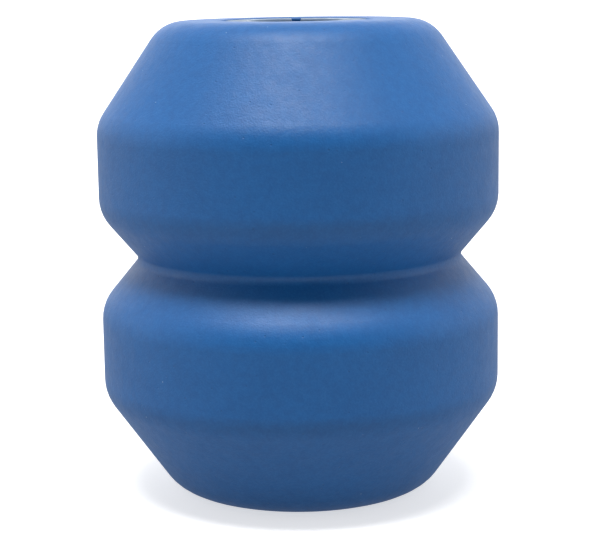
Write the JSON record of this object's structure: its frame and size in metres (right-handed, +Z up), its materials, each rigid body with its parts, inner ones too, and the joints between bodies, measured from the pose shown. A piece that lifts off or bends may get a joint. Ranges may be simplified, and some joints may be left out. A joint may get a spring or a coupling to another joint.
{
  "type": "pipette filler bulb",
  "caption": "Waisted rubber bellows bulb with a thumb vent valve in its crown and a filtered socket in its foot that holds and fills a pipette.",
  "frame": {"origin": "centre of the foot's resting plane, on the bulb's axis", "axes": "+Z up the bulb's axis, from the pipette socket in the foot to the vent button in the crown; +X through one lug of the locked bayonet ring"},
  "size_m": [0.052, 0.052, 0.0612],
  "materials": {
    "bulb_rubber": "matte moulded rubber",
    "grey_plastic": "satin moulded plastic",
    "blue_plastic": "satin moulded plastic",
    "black_rubber": "matte silicone",
    "filter_white": "porous, sintered",
    "steel": "drawn and turned stainless steel"
  },
  "bodies": {
    "base": {"bulb": "bulb_rubber", "nose_body": "grey_plastic", "pipette_chuck": "black_rubber", "filter_disc": "filter_white", "filter_gasket": "black_rubber"},
    "crown": {"crown_bush": "grey_plastic", "vent_spring": "steel"},
    "vent": {"vent_button": "blue_plastic", "vent_stem": "steel", "vent_poppet": "black_rubber", "poppet_washer": "steel", "stem_clip": "steel"},
    "ring": {"chuck_ring": "blue_plastic"}
  },
  "joints": [
    {"name": "squeeze", "type": "slide", "parent": "base", "child": "crown", "axis": [0, 0, -1], "range_m": [0, 0.016], "stiffness_N_per_m": 1300, "deforming": ["bulb"]},
    {"name": "vent_press", "type": "slide", "parent": "crown", "child": "vent", "axis": [0, 0, -1], "range_m": [0, 0.0018], "stiffness_N_per_m": 300, "springref_m": -0.003, "deforming": ["vent_spring"]},
    {"name": "ring_turn", "type": "hinge", "parent": "base", "child": "ring", "pos_m": [0, 0, 0], "axis": [0, 0, -1], "range_deg": [0, 60]}
  ]
}
